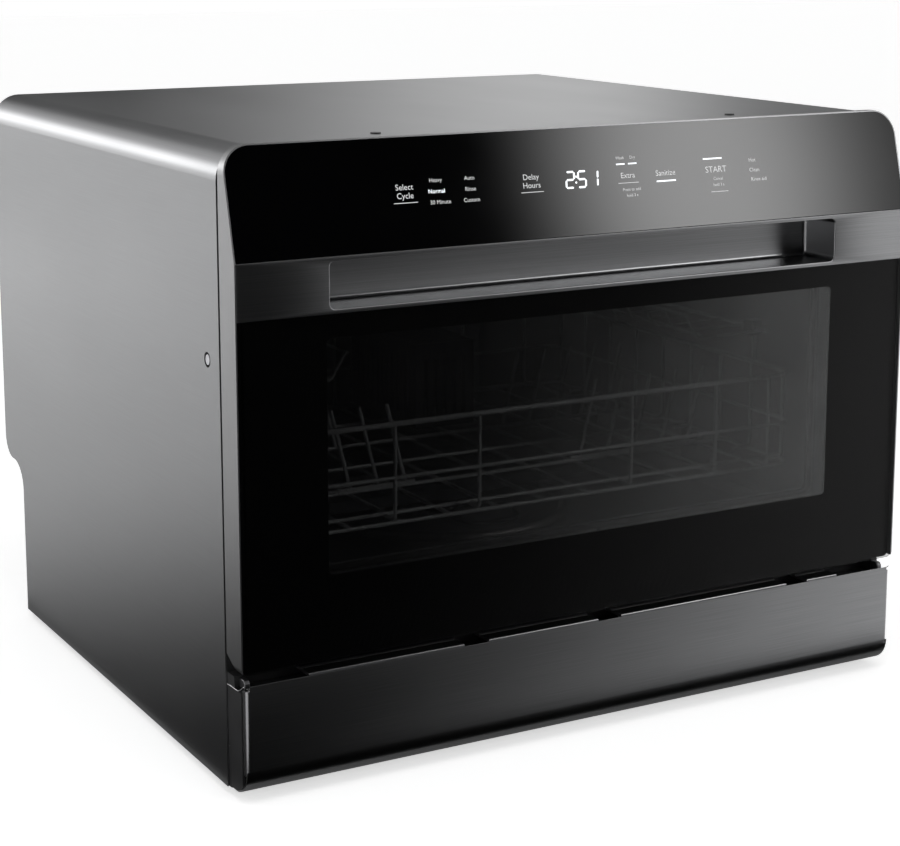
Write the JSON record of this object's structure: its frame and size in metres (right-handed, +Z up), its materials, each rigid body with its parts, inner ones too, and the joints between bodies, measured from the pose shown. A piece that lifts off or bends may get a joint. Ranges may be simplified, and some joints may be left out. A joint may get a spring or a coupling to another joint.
{
  "type": "countertop dishwasher",
  "caption": "Free-standing countertop dishwasher with a bottom-hinged glass door, a pocket handle, a raked touch panel, a steel tub and a wire rack that rolls out with the door.",
  "frame": {"origin": "middle of the overall footprint, on the surface that the feet stand on", "axes": "+X to the right seen from the front, +Y to the back, +Z up"},
  "size_m": [0.55, 0.5, 0.438],
  "materials": {
    "casing_steel": "dark brushed stainless with a fine horizontal grain",
    "door_steel": "dark brushed stainless, grain along its length",
    "rear_steel": "galvanised sheet, satin",
    "tub_steel": "bright satin stainless",
    "black_glass": "black tinted tempered glass, polished",
    "clear_glass": "clear glass, polished",
    "frit": "black printed border behind the glass",
    "black_plastic": "black moulded plastic, fine grain",
    "grey_plastic": "dark grey moulded plastic",
    "light_plastic": "off-white moulded plastic",
    "blue_plastic": "dull blue moulded plastic",
    "rubber_black": "black rubber, matt",
    "wire": "nylon-coated wire, grey satin",
    "plated_steel": "zinc-plated steel",
    "heater_steel": "dull stainless tube",
    "board_green": "green circuit board"
  },
  "bodies": {
    "cabinet": {"outer_casing": "casing_steel", "rear_panel": "rear_steel", "base_tray": "black_plastic", "feet": "rubber_black", "kick_carrier": "black_plastic", "kick_plate": "door_steel", "tub": "tub_steel", "front_frame": "black_plastic", "tub_gasket": "rubber_black", "door_strike": "plated_steel", "hinge_brackets": "plated_steel", "hinge_pins": "plated_steel", "casing_screws": "plated_steel", "top_plugs": "black_plastic", "sump_housing": "black_plastic", "filter_plate": "tub_steel", "spray_arm_hub": "black_plastic", "heating_element": "heater_steel", "circulation_pump": "black_plastic", "drain_pump": "black_plastic", "inlet_valve": "light_plastic", "drain_outlet": "grey_plastic", "water_hoses": "rubber_black", "cord_gland": "black_plastic", "power_board": "board_green"},
    "door": {"door_frame": "door_steel", "door_carrier": "black_plastic", "control_panel": "black_glass", "handle_strip": "door_steel", "door_glass": "black_glass", "glass_border": "frit", "window_pane": "clear_glass", "window_seal": "rubber_black", "door_liner": "tub_steel", "control_board": "board_green", "latch_housing": "black_plastic", "hinge_arms": "plated_steel", "detergent_dispenser": "grey_plastic"},
    "rack": {"rack_floor": "wire", "rack_front": "wire", "rack_rear": "wire", "rack_sides": "wire", "plate_tines": "wire", "bowl_tines": "wire", "rack_fittings": "grey_plastic"},
    "latch_bolt": {"latch_bolt": "light_plastic"},
    "detergent_lid": {"detergent_lid": "grey_plastic"},
    "rinse_cap": {"rinse_cap": "blue_plastic"},
    "roller_front_left": {"roller_front_left": "grey_plastic"},
    "roller_front_right": {"roller_front_right": "grey_plastic"},
    "roller_rear_left": {"roller_rear_left": "grey_plastic"},
    "roller_rear_right": {"roller_rear_right": "grey_plastic"},
    "cup_shelf_left": {"cup_shelf_left": "wire"},
    "cup_shelf_right": {"cup_shelf_right": "wire"},
    "cutlery_basket": {"cutlery_basket": "grey_plastic"},
    "spray_arm": {"spray_arm": "grey_plastic"},
    "filter_cylinder": {"filter_cylinder": "grey_plastic"},
    "pump_impeller": {"pump_impeller": "light_plastic"},
    "drain_impeller": {"drain_impeller": "light_plastic"},
    "overflow_float": {"overflow_float": "light_plastic"}
  },
  "joints": [
    {"name": "door_hinge", "type": "hinge", "parent": "cabinet", "child": "door", "pos_m": [0, -0.2394, 0.098], "axis": [1, 0, 0], "range_deg": [0, 90]},
    {"name": "rack_slide", "type": "slide", "parent": "cabinet", "child": "rack", "axis": [0, -1, 0], "range_m": [0, 0.165]},
    {"name": "cup_shelf_left_fold", "type": "hinge", "parent": "rack", "child": "cup_shelf_left", "pos_m": [-0.225, -0.03, 0.258], "axis": [0, -1, 0], "range_deg": [0, 75]},
    {"name": "cup_shelf_right_fold", "type": "hinge", "parent": "rack", "child": "cup_shelf_right", "pos_m": [0.225, -0.03, 0.258], "axis": [0, 1, 0], "range_deg": [0, 75]},
    {"name": "basket_lift", "type": "slide", "parent": "rack", "child": "cutlery_basket", "axis": [0, 0, 1], "range_m": [0, 0.12]},
    {"name": "spray_arm_spin", "type": "hinge", "parent": "cabinet", "child": "spray_arm", "pos_m": [0, -0.01905, 0.13], "axis": [0, 0, 1], "continuous": true},
    {"name": "filter_twist", "type": "hinge", "parent": "cabinet", "child": "filter_cylinder", "pos_m": [0.02019, -0.05702, 0.1], "axis": [0, 0, 1], "range_deg": [0, 90]},
    {"name": "pump_impeller_spin", "type": "hinge", "parent": "cabinet", "child": "pump_impeller", "pos_m": [0.105, -0.01905, 0.062], "axis": [1, 0, 0], "continuous": true},
    {"name": "drain_impeller_spin", "type": "hinge", "parent": "cabinet", "child": "drain_impeller", "pos_m": [-0.1, -0.01905, 0.058], "axis": [-1, 0, 0], "continuous": true},
    {"name": "float_rise", "type": "slide", "parent": "cabinet", "child": "overflow_float", "axis": [0, 0, 1], "range_m": [0, 0.008]},
    {"name": "latch_bolt_rise", "type": "slide", "parent": "door", "child": "latch_bolt", "axis": [0, 0, 1], "range_m": [0, 0.006], "stiffness_N_per_m": 300},
    {"name": "detergent_lid_slide", "type": "slide", "parent": "door", "child": "detergent_lid", "axis": [-1, 0, 0], "range_m": [0, 0.046]},
    {"name": "rinse_cap_turn", "type": "hinge", "parent": "door", "child": "rinse_cap", "pos_m": [0.03, -0.2166, 0.131], "axis": [0, 1, 0], "range_deg": [0, 90]},
    {"name": "roller_front_left_spin", "type": "hinge", "parent": "rack", "child": "roller_front_left", "pos_m": [-0.2325, -0.0531, 0.134], "axis": [1, 0, 0], "range_deg": [0, 865]},
    {"name": "roller_rear_left_spin", "type": "hinge", "parent": "rack", "child": "roller_rear_left", "pos_m": [-0.2325, 0.1199, 0.134], "axis": [1, 0, 0], "range_deg": [0, 865]},
    {"name": "roller_front_right_spin", "type": "hinge", "parent": "rack", "child": "roller_front_right", "pos_m": [0.2325, -0.0531, 0.134], "axis": [1, 0, 0], "range_deg": [0, 865]},
    {"name": "roller_rear_right_spin", "type": "hinge", "parent": "rack", "child": "roller_rear_right", "pos_m": [0.2325, 0.1199, 0.134], "axis": [1, 0, 0], "range_deg": [0, 865]}
  ],
  "couplings": [
    {"joint": "rack_slide", "follows": "door_hinge", "m_per_rad": 0.105},
    {"joint": "roller_front_left_spin", "follows": "door_hinge", "ratio": 9.5455},
    {"joint": "roller_rear_left_spin", "follows": "door_hinge", "ratio": 9.5455},
    {"joint": "roller_front_right_spin", "follows": "door_hinge", "ratio": 9.5455},
    {"joint": "roller_rear_right_spin", "follows": "door_hinge", "ratio": 9.5455}
  ]
}
